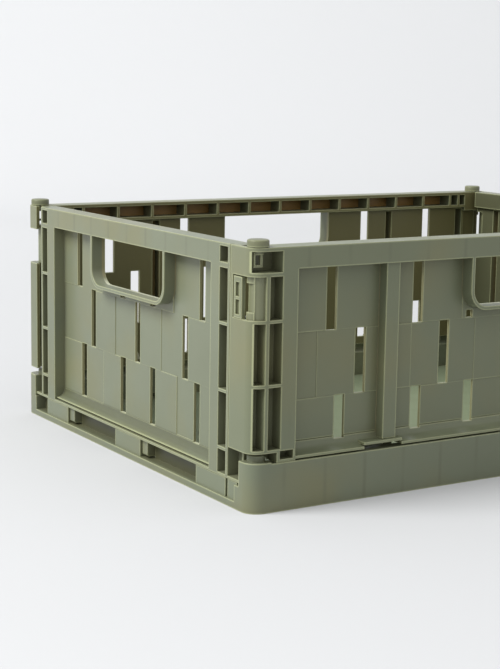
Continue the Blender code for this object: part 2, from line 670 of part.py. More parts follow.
def cut_underside(tray):
    """Hollow long sides and corners, and shallow floor coffers, all open underneath."""
    pockets = []
    for side in SIDES:
        for i in range(SIDE_POCKETS):
            x0 = -178.0 + i * SIDE_POCKET_PITCH + 0.9
            pockets.append((x0, x0 + SIDE_POCKET_LENGTH, side * 147.6, side * 141.2, -OVER, 19.5))
    cut(tray, boxes(pockets))
    cut(tray, boxes([(side_x * (HALF_X - 3.5), side_x * (HALF_X - 11.4),
                      side_y * (HALF_Y - 3.5), side_y * (HALF_Y - 10.2), -OVER, 24.5)
                     for side_x, side_y in TRAY_CORNERS]))
    pitch_x, pitch_y = 2 * COFFER_HALF_X / COFFERS_X, 2 * COFFER_HALF_Y / COFFERS_Y
    margin = COFFER_RIB / 2
    coffers = []
    for i in range(COFFERS_X):
        for j in range(COFFERS_Y):
            x0, y0 = -COFFER_HALF_X + i * pitch_x, -COFFER_HALF_Y + j * pitch_y
            coffers.append((x0 + margin, x0 + pitch_x - margin,
                            y0 + margin, y0 + pitch_y - margin, -OVER, COFFER_TOP))
    cut(tray, boxes(coffers))


def build_base():
    tray = prism(floor_outline(), "z", 0.0, FLOOR_TOP)
    add_long_sides(tray)
    add_tray_corners(tray)
    add_end_rails(tray)
    add_long_wall_lugs(tray)
    cut_end_rails(tray)
    cut_long_wall_bores(tray)
    cut_underside(tray)
    return tray


# ---------------------------------------------------------------- latch clip (left end, front)
def build_clip():
    bottom, top = CLIP_Z
    pivot_x, pivot_y = CLIP_PIVOT
    clip = box(-HALF_X + 0.1, -HALF_X + 2.5, -138.0, -129.7, bottom, top)
    # arm to the pivot, barrel, and the thinner pivot ends
    union(clip,
          box(-HALF_X + 2.0, pivot_x + 0.2, -131.3, pivot_y, bottom + 0.6, top - 0.6),
          prism(circle(pivot_x, pivot_y, 1.4, 16), "z", bottom + 0.3, top - 0.3),
          prism(circle(pivot_x, pivot_y, 0.85, 12), "z", bottom - 2.6, top + 2.6))
    # two shallow pockets in the outer face
    cut(clip, boxes([(-HALF_X - OVER, -HALF_X + 1.5, -135.6, -131.5, z0, z1)
                     for z0, z1 in ((109.5, 117.6), (119.4, 127.2))]))
    return clip


# ---------------------------------------------------------------- stacking knob (front left)
KNOB_X, KNOB_Y = -HALF_X + KNOB_INSET, -HALF_Y + KNOB_INSET
KNOB_TOP, KNOB_BOTTOM = 151.2, RIM_TOP + 0.3
KNOB_RADIUS, STEM_RADIUS = 6.1, 3.2


def build_knob():
    profile = [(STEM_RADIUS, 143.0), (STEM_RADIUS, KNOB_BOTTOM), (KNOB_RADIUS, KNOB_BOTTOM),
               (KNOB_RADIUS, KNOB_TOP - 0.8), (KNOB_RADIUS - 0.25, KNOB_TOP - 0.3),
               (KNOB_RADIUS - 0.9, KNOB_TOP)]
    knob = turned(profile, KNOB_X, KNOB_Y, 32)
    # fork below the stem: two legs joined at the bottom
    union(knob, box(KNOB_X - 3.6, KNOB_X + 2.0, KNOB_Y - 1.6, KNOB_Y - 0.2, 136.0, 144.2))
    cut(knob, box(KNOB_X - 2.6, KNOB_X + 0.6, KNOB_Y - 3.0, KNOB_Y + 1.0, 137.4, 142.8))
    return knob


# ---------------------------------------------------------------- assembly
def main():
    clear_scene()
    plastics = {key: make_plastic(*values) for key, values in MATERIALS.items()}
    finish(build_base(), "base_tray", plastics["base"], (0, 0, 0))
    front = finish(build_long_wall(), "front_wall", plastics["long"],
                   (0, LONG_AXIS_Y, LONG_AXIS_Z))
    back = half_turn_copy(front, "back_wall")
    left = finish(build_end_wall(), "left_end_wall", plastics["end"],
                  (END_AXIS_X, 0, END_AXIS_Z))
    right = half_turn_copy(left, "right_end_wall")

    clip = finish(build_clip(), "latch_clip_front_left", plastics["clip"],
                  (*CLIP_PIVOT, CLIP_Z[0]))
    parent_keep(clip, left)
    # copied by world position: the parent's inverse keeps location unchanged
    parent_keep(half_turn_copy(clip, "latch_clip_back_right"), right)

    knob_left = finish(build_knob(), "stacking_knob_front_left", plastics["knob"],
                       (KNOB_X, KNOB_Y, RIM_TOP))
    knob_right = knob_left.copy()
    knob_right.name = "stacking_knob_front_right"
    knob_right.location.x = -knob_left.location.x
    bpy.context.scene.collection.objects.link(knob_right)
    for knob, opposite in ((knob_left, "back_right"), (knob_right, "back_left")):
        parent_keep(half_turn_copy(knob, "stacking_knob_" + opposite), back)
        parent_keep(knob, front)


main()
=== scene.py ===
"""Looks of a collapsible storage crate: a tray, four hinged walls, two latch clips, four knobs.

The crate is centred on the origin and stands on z = 0. Its long sides run along X: the front wall
faces -Y and the left end wall faces -X. Those two walls are modelled; the back and the right end
are the same mouldings given half a turn about Z.

Modelling is in millimetres and is turned into metres when a mesh is made. Materials, stage, light
and camera are in metres.
"""
import json
import math

import bmesh
import bpy
from mathutils import Matrix, Vector


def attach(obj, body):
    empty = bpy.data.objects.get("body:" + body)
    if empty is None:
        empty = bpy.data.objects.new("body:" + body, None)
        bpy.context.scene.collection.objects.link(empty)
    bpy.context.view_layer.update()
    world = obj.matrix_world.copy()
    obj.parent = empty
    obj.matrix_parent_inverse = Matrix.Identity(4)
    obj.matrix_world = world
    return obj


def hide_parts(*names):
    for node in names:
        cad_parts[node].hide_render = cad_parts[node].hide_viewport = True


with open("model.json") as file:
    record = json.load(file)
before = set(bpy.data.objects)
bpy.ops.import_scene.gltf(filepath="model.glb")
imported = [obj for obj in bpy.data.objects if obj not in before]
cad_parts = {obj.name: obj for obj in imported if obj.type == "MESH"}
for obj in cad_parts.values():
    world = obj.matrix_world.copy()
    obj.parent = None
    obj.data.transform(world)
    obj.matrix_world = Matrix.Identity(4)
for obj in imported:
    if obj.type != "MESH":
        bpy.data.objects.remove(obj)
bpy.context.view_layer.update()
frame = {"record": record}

MM = 0.001

# ---------------------------------------------------------------- driving dimensions
LENGTH, WIDTH = 400.0, 300.0            # footprint of the tray
HALF_X, HALF_Y = LENGTH / 2, WIDTH / 2
RIM_BOTTOM, RIM_TOP = 134.8, 147.0      # band round the top of every wall
ROW_1, ROW_2 = 97.6, 59.8               # heights where the rows of slats change
SLOT = 7.0                              # width of a slot
PANEL_T = 2.0                           # thickness of the slatted panels
LIP_T = 2.2                             # wall of the lip round a hand hole
PIN_R, BORE_R = 1.8, 2.2                # hinge pins and the bores they turn in

# front wall: its faces are Y values
FRONT_RECESS = 9.0                      # how far the panel stands back from the frame
FRONT_FACE = -HALF_Y + 0.7
FRONT_PANEL = FRONT_FACE + FRONT_RECESS
FRONT_INNER = FRONT_PANEL + PANEL_T
FRONT_RIM_IN = -HALF_Y + 15.0           # inner face of the rim
FRONT_BOTTOM = 28.7
FRONT_FLANGE_T = 1.5                    # thickness of the flange along the foot
FRONT_COVE_HEIGHT = 5.8
FRONT_HINGE_Y, FRONT_HINGE_Z = -HALF_Y + 14.0, 26.5
FRONT_RIB_PITCH = 27.3                  # ribs inside the rim
FRONT_RIB_COUNT = 6                     # rim ribs on each side of the middle one
FRONT_HANDLE = (46.6, 105.4, 0.0)       # half width, bottom and middle of the hand hole

# corner columns of the front wall: distances from the middle of the wall, along X
COLUMN_EDGE = HALF_X - 20.0             # where column and stile meet
STILE_EDGE = HALF_X - 29.5              # edge of the stile towards the middle
RIB_IN, RIB_OUT = 99.9, 109.2           # the two ribs that split the wall in three
RIB_BACK = 2.2                          # these ribs stand back from the frame
COLUMN_BOTTOM = 33.6
COLUMN_BACK_Y = -139.0
WIDE_COLUMN = (8.0, 24.6)               # rounding, and reach of the skin round the end
NARROW_COLUMN = (5.0, 15.0)
SKIN_FACE = HALF_X - 0.4                # column skin
SKIN_BACK = SKIN_FACE - 2.4
LATCH_Z = (107.4, 131.1)                # height of the latch notch

# left end wall: its faces are X values
LEFT_FACE = -HALF_X + 0.8
LEFT_PANEL = LEFT_FACE + 7.5
LEFT_INNER = LEFT_PANEL + PANEL_T
LEFT_RIM_IN = -HALF_X + 13.3
LEFT_STEP = -(SKIN_BACK - 0.6)          # outer face behind the column skins
LEFT_HINGE_X, LEFT_HINGE_Z = -HALF_X + 8.0, 9.5
LEFT_HALF = 131.5                       # half width over the side edges
LEFT_BOTTOM = 15.3
LEFT_FLANGE_TOP = LEFT_BOTTOM + 1.5
LEFT_RIB_PITCH = 25.0
LEFT_RIB_COUNT = 4
LEFT_HANDLE = (47.7, 103.8, 1.2)        # follows the middle of the visible face
# the face lies between the wide skin at -Y and the narrow one at +Y; distances along Y
NEAR = {"side": -1, "stile": (103.4, 113.1), "ladder": (113.1, 121.9), "edge": 124.2}
FAR = {"side": 1, "stile": (106.8, 118.0), "ladder": (118.0, 126.2), "edge": 128.2}
LUGS = ((-25.6, -19.3), (79.2, 85.6))   # hinge lugs along Y, each in a window of the tray
WINDOWS = ((-88.0, -18.3), (15.7, 86.6))

# tray
WIDE_R, NARROW_R = 9.0, 6.0             # corner rounding under the wide and narrow columns
RAIL_TOP, BAND_TOP, SIDE_TOP = 15.0, 4.2, 27.7
GROOVE_Y = -122.7                       # groove in the left end rail
TRAY_RIB_PITCH = 27.4                   # ribs inside the long sides
TRAY_RIB_START = -178.0

# latch clip at the left end, towards the front
CLIP_Z = (107.5, 130.4)
CLIP_Y = (-138.0, -129.7)
PIVOT_X, PIVOT_Y = -HALF_X + 5.6, -129.2

# stacking knobs
KNOB_TOP = 151.2
KNOB_R, KNOB_INSET = 6.1, 6.9

SMOOTH_ANGLE = math.radians(32)
CORNERS = [(side_x, side_y) for side_x in (-1, 1) for side_y in (-1, 1)]
HALF_TURN = Matrix.Rotation(math.pi, 4, "Z")

# slots: centres along the wall, width, overcut in front of the panel, bottom, top
FRONT_SLOTS = (
    ((-142.0, -81.0, 81.0, 142.0), SLOT, 0.5, ROW_1, RIM_BOTTOM - 0.6),
    ((-121.4, -60.7, 0.0, 60.7, 121.4), SLOT, 0.5, ROW_2, ROW_1 - 0.01),
    ((-135.2, -80.7, -41.0, 41.0, 80.7, 135.2), SLOT, 1.2, 34.7, ROW_2 - 0.01),
    ((-42.4, 42.4), 4.8, 0.5, ROW_1 + 0.4, 102.6),
)
LEFT_SLOTS = (
    ((-81.0, 82.7), SLOT, 0.5, ROW_1, RIM_BOTTOM - 0.6),
    ((-61.1, -0.6, 61.9), SLOT, 0.5, ROW_2, ROW_1 - 0.01),
    ((-75.4, -20.9, 18.9, 75.9), SLOT, 0.5, 24.1, ROW_2 - 0.01),
    ((-20.9, 19.5), SLOT, 0.5, ROW_1 + 0.2, 101.2),
)

# slat tiles, row by row: bottom, top, then (start, end, depth cut into the panel's outer face)
FRONT_TILES = (  # the left half; the right half mirrors it
    (ROW_1, RIM_BOTTOM, (
        (-142.0, -RIB_OUT, 0.30), (-RIB_IN, -81.0, 0.60), (-81.0, -48.0, 0.25))),
    (ROW_2, ROW_1, (
        (-STILE_EDGE, -151.2, 0.65), (-151.2, -121.4, 0.40), (-121.4, -RIB_OUT, 0.10),
        (-RIB_IN, -85.0, 0.15), (-85.0, -60.7, 0.45), (-60.7, -37.7, 0.30),
        (-37.7, -0.05, 0.10))),
    (36.4, ROW_2, (
        (-STILE_EDGE, -135.2, 0.20), (-135.2, -RIB_OUT, 0.35), (-RIB_IN, -80.7, 0.55),
        (-80.7, -41.0, 0.20), (-41.0, -0.05, 0.50))),
    (34.5, 36.4, ((-STILE_EDGE, -RIB_OUT, 0.80), (-RIB_IN, -0.05, 0.80))),
)
LEFT_TILES = (
    (ROW_1, RIM_BOTTOM, (
        (82.7, 107.4, 0.20), (49.0, 82.7, 0.45), (-81.0, -47.0, 0.40), (-104.0, -81.0, 0.10))),
    (ROW_2, ROW_1, (
        (61.9, 107.4, 0.45), (30.0, 61.9, 0.10), (-0.6, 30.0, 0.35),
        (-31.5, -0.6, 0.15), (-61.1, -31.5, 0.40), (-104.0, -61.1, 0.20))),
    (24.0, ROW_2, (
        (75.9, 107.4, 0.15), (47.0, 75.9, 0.35), (18.9, 47.0, 0.05), (-20.9, 18.9, 0.25),
        (-51.5, -20.9, 0.10), (-75.4, -51.5, 0.45), (-104.0, -75.4, 0.25))),
)


# ---------------------------------------------------------------- solids
def new_object(draft):
    bmesh.ops.recalc_face_normals(draft, faces=draft.faces)
    mesh = bpy.data.meshes.new("block")
    draft.to_mesh(mesh)
    draft.free()
    obj = bpy.data.objects.new("block", mesh)
    bpy.context.scene.collection.objects.link(obj)
    return obj


def boxes(*items):
    """One object holding a box for each (x0, x1, y0, y1, z0, z1); each pair in either order."""
    draft = bmesh.new()
    for x0, x1, y0, y1, z0, z1 in items:
        x0, x1 = min(x0, x1), max(x0, x1)
        y0, y1 = min(y0, y1), max(y0, y1)
        size = Vector((x1 - x0, y1 - y0, z1 - z0)) * MM
        centre = Vector((x0 + x1, y0 + y1, z0 + z1)) * (0.5 * MM)
        matrix = Matrix.Translation(centre) @ Matrix.Diagonal((*size, 1.0))
        bmesh.ops.create_cube(draft, size=1.0, matrix=matrix)
    return new_object(draft)


def skin_rings(draft, rings):
    """Joins each closed ring of points to the next with a strip of four-sided faces."""
    for low, high in zip(rings, rings[1:]):
        for i in range(len(low)):
            j = (i + 1) % len(low)
            draft.faces.new((low[i], low[j], high[j], high[i]))


def prism(outline, axis, start, end):
    """A closed prism; the outline holds the two coordinates other than the axis, in XYZ order."""
    draft = bmesh.new()
    rings = []
    for level in (start, end):
        ring = []
        for a, b in outline:
            point = {"x": (level, a, b), "y": (a, level, b), "z": (a, b, level)}[axis]
            ring.append(draft.verts.new(Vector(point) * MM))
        rings.append(ring)
    draft.faces.new(rings[0])
    draft.faces.new(list(reversed(rings[1])))
    skin_rings(draft, rings)
    return new_object(draft)


def turned(profile, centre_x, centre_y, steps):
    """A solid of revolution about a vertical axis: (radius, z) pairs from the bottom up."""
    draft = bmesh.new()
    rings = []
    for radius, z in profile:
        ring = []
        for i in range(steps):
            x = centre_x + radius * math.cos(2 * math.pi * i / steps)
            y = centre_y + radius * math.sin(2 * math.pi * i / steps)
            ring.append(draft.verts.new(Vector((x, y, z)) * MM))
        rings.append(ring)
    skin_rings(draft, rings)
    draft.faces.new(list(reversed(rings[0])))
    draft.faces.new(rings[-1])
    return new_object(draft)


def arc(centre_a, centre_b, radius, start, end, steps):
    """Points from one angle to another, in degrees."""
    points = []
    for i in range(steps + 1):
        angle = math.radians(start + (end - start) * i / steps)
        points.append((centre_a + radius * math.cos(angle), centre_b + radius * math.sin(angle)))
    return points


def circle(centre_a, centre_b, radius, steps):
    return arc(centre_a, centre_b, radius, 0, 360 - 360 / steps, steps - 1)


def combine(obj, other, operation):
    """Applies one exact Boolean and removes the second solid."""
    modifier = obj.modifiers.new("boolean", "BOOLEAN")
    modifier.operation = operation
    modifier.solver = "EXACT"
    modifier.object = other
    depsgraph = bpy.context.evaluated_depsgraph_get()
    mesh = bpy.data.meshes.new_from_object(obj.evaluated_get(depsgraph))
    obj.modifiers.clear()
    old_mesh = obj.data
    obj.data = mesh
    bpy.data.meshes.remove(old_mesh)
    bpy.data.objects.remove(other, do_unlink=True)


def union(obj, *others):
    for other in others:
        combine(obj, other, "UNION")


def cut(obj, *others):
    for other in others:
        combine(obj, other, "DIFFERENCE")


def tidy(obj):
    """Merges the Booleans' coincident points and clears edges inside flat faces."""
    draft = bmesh.new()
    draft.from_mesh(obj.data)
    bmesh.ops.remove_doubles(draft, verts=draft.verts, dist=0.000004)
    bmesh.ops.dissolve_degenerate(draft, dist=0.000002, edges=draft.edges)
    bmesh.ops.dissolve_limit(draft, angle_limit=math.radians(0.3), use_dissolve_boundaries=False,
                             verts=draft.verts, edges=draft.edges)
    bmesh.ops.recalc_face_normals(draft, faces=draft.faces)
    draft.to_mesh(obj.data)
    draft.free()
    return obj


# ---------------------------------------------------------------- features both walls share
# axis is the one the wall faces: "Y" for the front wall, "X" for the left end wall
def wall_box(axis, along, depth, height):
    return (*along, *depth, *height) if axis == "Y" else (*depth, *along, *height)


def cut_slots(wall, axis, rows, panel, inner):
    slots = []
    for centres, width, overcut, bottom, top in rows:
        for centre in centres:
            slots.append(wall_box(axis, (centre - width / 2, centre + width / 2),
                                  (panel - overcut, inner + 0.5), (bottom, top)))
    cut(wall, boxes(*slots))


def rim_pocket(axis, start, end, face, rim_in):
    """A pocket in the rim, open towards the inside of the crate."""
    return wall_box(axis, (start, end), (face + 2.2, rim_in + 1),
                    (RIM_BOTTOM + 2.0, RIM_TOP - 2.2))


def rim_pockets(axis, pitch, count, face, rim_in):
    return [rim_pocket(axis, pitch * i + 1.0, pitch * (i + 1) - 1.0, face, rim_in)
            for i in range(-count, count)]


def handle_outline(handle, margin, top, radius):
    """A hand hole with rounded lower corners, grown by a margin at the sides and the bottom."""
    half, bottom, middle = handle
    half += margin
    bottom -= margin
    points = [(half, top), (-half, top)]
    points += arc(-half + radius, bottom + radius, radius, 180, 270, 8)
    points += arc(half - radius, bottom + radius, radius, 270, 360, 8)
    return [(along + middle, z) for along, z in points]


def handle_lip(handle, axis, face, inner):
    return prism(handle_outline(handle, LIP_T, RIM_TOP - 8, 12.0), axis, face, inner)


def handle_opening(handle, axis, face, inner):
    return prism(handle_outline(handle, 0.0, RIM_BOTTOM, 10.0), axis, face - 2, inner + 2)


def cove(edge, low, depth, height, start=0.0):
    """A quarter ellipse from the foot's edge up and in to the panel; start cuts off its foot."""
    angles = [start + (math.pi / 2 - start) * i / 7 for i in range(8)]
    return [(edge + depth * math.sin(t), low + height * (1 - math.cos(t))) for t in angles]


def cut_tiles(wall, axis, rows, panel):
    """Small steps in depth between the slats, cut one depth at a time in two passes."""
    tiles = []
    for bottom, top, spans in rows:
        for start, end, depth in spans:
            tiles.append((start, end, bottom, top, depth))
            if axis == "Y":
                tiles.append((-end, -start, bottom, top, depth))
    for depth in sorted({tile[4] for tile in tiles}):
        chosen = [tile for tile in tiles if tile[4] == depth]
        for parity in (0, 1):
            cutters = [wall_box(axis, (start, end), (panel - 0.8, panel + depth), (bottom, top))
                       for start, end, bottom, top, _ in chosen[parity::2]]
            if cutters:
                cut(wall, boxes(*cutters))


# ---------------------------------------------------------------- front wall
def column_outline(side):
    """Plan of a corner column: the wide one at the left end (-1), the narrow one at the right."""
    radius, reach = WIDE_COLUMN if side < 0 else NARROW_COLUMN
    points = [(COLUMN_EDGE, FRONT_FACE)]
    points += arc(SKIN_FACE - radius, FRONT_FACE + radius, radius, -90, 0, 8)
    points += [(SKIN_FACE, -HALF_Y + reach), (SKIN_BACK, -HALF_Y + reach),
               (SKIN_BACK, COLUMN_BACK_Y), (COLUMN_EDGE, COLUMN_BACK_Y)]
    return [(side * x, y) for x, y in points]


def add_front_uprights(wall, side):
    face, inner = FRONT_FACE, FRONT_INNER
    union(
        wall,
        prism(column_outline(side), "z", COLUMN_BOTTOM, RIM_TOP),
        # inner part of the corner block, under the rim's inner edge
        boxes((side * (COLUMN_EDGE - 1), side * (SKIN_BACK - 2.5), COLUMN_BACK_Y - 0.5,
               FRONT_RIM_IN, RIM_BOTTOM - 2.8, RIM_TOP)),
        # inner leg that closes the corner beside the end wall
        boxes((side * COLUMN_EDGE, side * (HALF_X - 10), COLUMN_BACK_Y - 0.5, -132.1,
               COLUMN_BOTTOM + 1.0, 105.4)),
        # stile, its foot, and the web behind the tray's peg
        boxes((side * STILE_EDGE, side * (COLUMN_EDGE + 0.3), face, inner,
               FRONT_BOTTOM, RIM_TOP - 6)),
        boxes((side * STILE_EDGE, side * (COLUMN_EDGE + 2.6), face, inner,
               FRONT_BOTTOM - 0.9, COLUMN_BOTTOM + 2.2)),
        boxes((side * (COLUMN_EDGE - 0.5), side * (COLUMN_EDGE + 5.2), -140.2, inner,
               28.9, 35.2)),
        # mid rib
        boxes((side * RIB_IN, side * RIB_OUT, face + RIB_BACK, inner,
               FRONT_BOTTOM + 4, RIM_TOP - 6)),
    )


def foot_outline(bottom):
    """The cove is the same all along; where the foot steps up, a level shelf runs back into it."""
    low = FRONT_BOTTOM + FRONT_FLANGE_T
    start = math.acos(1 - (bottom + FRONT_FLANGE_T - low) / FRONT_COVE_HEIGHT)
    shelf = [(FRONT_FACE, bottom + FRONT_FLANGE_T)] if start > 0 else []
    return ([(FRONT_INNER, bottom), (FRONT_FACE, bottom)] + shelf
            + cove(FRONT_FACE, low, FRONT_RECESS, FRONT_COVE_HEIGHT, start)
            + [(FRONT_INNER, low + FRONT_COVE_HEIGHT)])


def add_front_foot(wall):
    """Coved foot of the panel, stepped up over the two hinges."""
    edges = (-COLUMN_EDGE, -123.3, -96.6, 96.6, 123.3, COLUMN_EDGE)
    for i, (start, end) in enumerate(zip(edges, edges[1:])):
        lift = 2.3 if i % 2 else 0.0
        union(wall, prism(foot_outline(FRONT_BOTTOM + lift), "x", start, end))


def add_front_hinges(wall):
    """Knuckles either side of each tray lug, with a pin through them."""
    y, z = FRONT_HINGE_Y, FRONT_HINGE_Z
    arm = [(y - 3.9, 31.6), (y - 4.0, z)]
    arm += arc(y, z, 4.0, 180, 360, 12)[1:]
    arm += [(y + 3.0, 34.0), (FRONT_INNER + 0.5, 39.0), (FRONT_INNER - 1.0, 39.0)]
    for side in (-1, 1):
        for start, end in ((97.0, 102.0), (119.6, 124.6)):
            union(wall, prism(arm, "x", side * start, side * end))
        union(wall, prism(circle(y, z, PIN_R, 16), "x", side * 98.0, side * 123.6))


def cut_front_inside(wall):
    """Rim channel divided by ribs, then the hollow stiles and mid ribs; all open inwards."""
    face, inner = FRONT_FACE, FRONT_INNER
    pockets = rim_pockets("Y", FRONT_RIB_PITCH, FRONT_RIB_COUNT, face, FRONT_RIM_IN)
    last_rib = FRONT_RIB_COUNT * FRONT_RIB_PITCH
    for side in (-1, 1):
        for start, end in ((last_rib + 1.0, 171.6), (173.6, 178.8)):
            pockets.append(rim_pocket("Y", side * start, side * end, face, FRONT_RIM_IN))
    cut(wall, boxes(*pockets))
    hollows = []
    for side in (-1, 1):
        hollows += [
            (side * 172.2, side * 178.4, face + 2.0, inner + 1, 38.5, RIM_BOTTOM - 1.4),
            (side * (RIB_IN + 1.8), side * (RIB_OUT - 1.8), face + RIB_BACK + 2.0, inner + 1,
             41.5, RIM_BOTTOM - 1.4),
        ]
    cut(wall, boxes(*hollows))


def cut_front_outside(wall):
    """Pockets in the outside of the columns and in the feet of the stiles."""
    outside = FRONT_FACE - 1
    edge = HALF_X - 11.2
    pockets = []
    for side in (-1, 1):
        seam = side * (COLUMN_EDGE + 0.5)
        for bottom, top in ((COLUMN_BOTTOM + 1.7, 70.1), (71.9, 105.6)):
            pockets += [
                (side * (HALF_X - 8.9), side * (HALF_X - 2.9), outside, -140.6, bottom, top),
                (side * edge, seam, outside, -140.6, bottom, top),
            ]
        pockets += [
            (side * (edge - 0.2), seam, outside, -140.6, *LATCH_Z),
            # front opening of the corner block
            (side * (HALF_X - 19.2), side * (HALF_X - 1.7), outside, -137.5,
             133.4, RIM_TOP - 2.2),
            # foot of the stile
            (side * 171.9, side * 180.7, outside, -141.5,
             FRONT_BOTTOM + 0.7, COLUMN_BOTTOM + 0.6),
        ]
    cut(wall, boxes(*pockets))


def cut_latch_notches(wall):
    """The wide skin opens for the clip beside a curved wall; the narrow corner is cut back."""
    outside = -HALF_X - 2
    cut(wall,
        boxes((-HALF_X + 9.0, outside, FRONT_FACE - 2, -146.0, *LATCH_Z)),
        boxes((-SKIN_BACK + 0.4, outside, -147.0, -128.1, *LATCH_Z)),
        boxes((-HALF_X + 7.6, outside, -141.2, -128.1, *LATCH_Z)))
    curved = [(-190.5, -147.6)]
    curved += reversed(arc(-191.6, -141.3, 6.3, 180, 270, 8))
    curved += [(-197.9, -139.8), (-190.5, -139.8)]
    union(wall, prism(curved, "z", 106.9, 131.6))
    cut(wall,
        # window in the curved wall
        boxes((-HALF_X - 1, -196.6, -148.5, -139.0, 111.6, 127.4)),
        # narrow corner
        boxes((HALF_X - 9.5, HALF_X + 2, FRONT_FACE - 2, -143.0, *LATCH_Z)),
        boxes((HALF_X - 5.3, HALF_X + 2, -147.0, -134.0, *LATCH_Z)))


def build_front_wall():
    face, inner = FRONT_FACE, FRONT_INNER
    wall = boxes((-COLUMN_EDGE - 0.5, COLUMN_EDGE + 0.5, FRONT_PANEL, inner,
                  FRONT_BOTTOM + 6, RIM_TOP - 6))
    rim = (-COLUMN_EDGE - 2, COLUMN_EDGE + 2, face, FRONT_RIM_IN, RIM_BOTTOM, RIM_TOP)
    union(wall, boxes(rim))
    for side in (-1, 1):
        add_front_uprights(wall, side)
    cut_tiles(wall, "Y", FRONT_TILES, FRONT_PANEL)
    union(wall, handle_lip(FRONT_HANDLE, "y", face, inner))
    add_front_foot(wall)
    add_front_hinges(wall)
    cut(wall, handle_opening(FRONT_HANDLE, "y", face, inner))
    cut_slots(wall, "Y", FRONT_SLOTS, FRONT_PANEL, inner)
    cut_front_inside(wall)
    cut_front_outside(wall)
    cut_latch_notches(wall)
    # sockets of the knobs
    for side in (-1, 1):
        socket = circle(side * (HALF_X - KNOB_INSET), -HALF_Y + KNOB_INSET, 3.6, 16)
        cut(wall, prism(socket, "z", 140.0, RIM_TOP + 2))
    return wall


# ---------------------------------------------------------------- left end wall
def add_left_side(wall, part):
    face, inner = LEFT_FACE, LEFT_INNER
    side, edge = part["side"], part["edge"]
    union(
        wall,
        # stile with the ladder of pockets beside it
        boxes((face, inner, side * part["stile"][0], side * edge, LEFT_BOTTOM, RIM_TOP - 4)),
        # edge and rim end that stand back behind the column skin
        boxes((LEFT_STEP, inner, side * (edge - 0.5), side * LEFT_HALF, 17.4, RIM_TOP - 2)),
        boxes((LEFT_STEP, LEFT_RIM_IN, side * (edge - 0.5), side * LEFT_HALF,
               RIM_BOTTOM, RIM_TOP)),
        # lower tab beside the tray's corner, and the flange's end over the corner step
        boxes((face, inner, side * (edge - 0.6), side * 134.9, LEFT_BOTTOM, 33.0)),
        boxes((face, inner, side * 134.0, side * 137.2, LEFT_BOTTOM, LEFT_FLANGE_TOP)),
    )


def add_left_foot(wall):
    """Coved foot with a shadow groove over the flange."""
    face, inner = LEFT_FACE, LEFT_INNER
    flange, groove_top = LEFT_FLANGE_TOP, LEFT_FLANGE_TOP + 0.8
    outline = [(inner, LEFT_BOTTOM), (face, LEFT_BOTTOM), (face, flange), (face + 3.4, flange),
               (face + 3.4, groove_top), (face + 1.6, groove_top)]
    outline += cove(face + 1.6, 18.3, 6.1, 6.4)
    outline += [(inner, 24.7)]
    union(wall, prism(outline, "y", -NEAR["stile"][0] - 0.4, FAR["stile"][0] + 0.4))


def add_left_hinges(wall):
    """Lugs in the tray's windows, each with a stub pin."""
    x, z = LEFT_HINGE_X, LEFT_HINGE_Z
    lug = [(-HALF_X + 2.6, 16.4), (-HALF_X + 2.6, 6.4), (-HALF_X + 3.6, 5.4), (x, 5.4)]
    lug += arc(x, z, 4.1, 270, 360, 8)[1:]
    lug += [(x + 2.4, 16.4)]
    for start, end in LUGS:
        union(wall, prism(lug, "y", start, end),
              prism(circle(x, z, PIN_R, 16), "y", end - 1.0, end + 6.3))


def cut_left_sides(wall):
    """Hollow stiles, open inwards, and the ladders of pockets in the outer face."""
    face, flange = LEFT_FACE, LEFT_FLANGE_TOP
    rungs = ((flange, 30.3), (32.1, 63.2), (65.0, 101.2), (103.0, 133.2),
             (136.4, RIM_TOP - 1.8))
    hollows, pockets = [], []
    for part in (NEAR, FAR):
        side = part["side"]
        start, end = part["stile"]
        hollows.append((face + 2.0, LEFT_INNER + 1, side * (start + 1.8), side * (end - 1.8),
                        26.5, RIM_BOTTOM - 1.4))
        start, end = part["ladder"]
        for bottom, top in rungs:
            pockets.append((face - 1, LEFT_PANEL, side * start, side * end, bottom, top))
        pockets.append((face - 1, LEFT_PANEL, side * part["edge"], side * 133.4, flange, 34.0))
    # the tab's outer border stands back behind the tray's corner
    borders = [(face - 1, -195.2, side * 133.2, side * 138.0, flange, 34.5)
               for side in (-1, 1)]
    cut(wall, boxes(*hollows), boxes(*pockets), boxes(*borders))


def build_left_wall():
    face, inner = LEFT_FACE, LEFT_INNER
    low, high = -NEAR["edge"], FAR["edge"]
    wall = boxes((LEFT_PANEL, inner, low, high, LEFT_BOTTOM, RIM_TOP - 4))
    cut_tiles(wall, "X", LEFT_TILES, LEFT_PANEL)
    union(wall, boxes((face, LEFT_RIM_IN, low, high, RIM_BOTTOM, RIM_TOP)))
    for part in (NEAR, FAR):
        add_left_side(wall, part)
    union(wall, handle_lip(LEFT_HANDLE, "x", face, inner))
    add_left_foot(wall)
    add_left_hinges(wall)
    cut(wall, handle_opening(LEFT_HANDLE, "x", face, inner))
    cut_slots(wall, "X", LEFT_SLOTS, LEFT_PANEL, inner)
    cut(wall, boxes(*rim_pockets("X", LEFT_RIB_PITCH, LEFT_RIB_COUNT, face, LEFT_RIM_IN)))
    cut_left_sides(wall)
    # seat of the latch clip, with the holes its pivot ends turn in
    cut(wall, boxes((LEFT_STEP - 1, inner + 1, -124.8, -LEFT_HALF - 1, 107.0, 130.9)),
        prism(circle(PIVOT_X, PIVOT_Y, 1.15, 12), "z", 104.6, 133.3))
    return wall


# ---------------------------------------------------------------- tray
def corner_radius(side_x, side_y):
    return WIDE_R if side_x * side_y > 0 else NARROW_R


def floor_outline():
    points = []
    for i, (side_x, side_y) in enumerate(((1, 1), (-1, 1), (-1, -1), (1, -1))):
        radius = corner_radius(side_x, side_y)
        points += arc(side_x * (HALF_X - radius), side_y * (HALF_Y - radius), radius,
                      90 * i, 90 * (i + 1), 7)
    return points


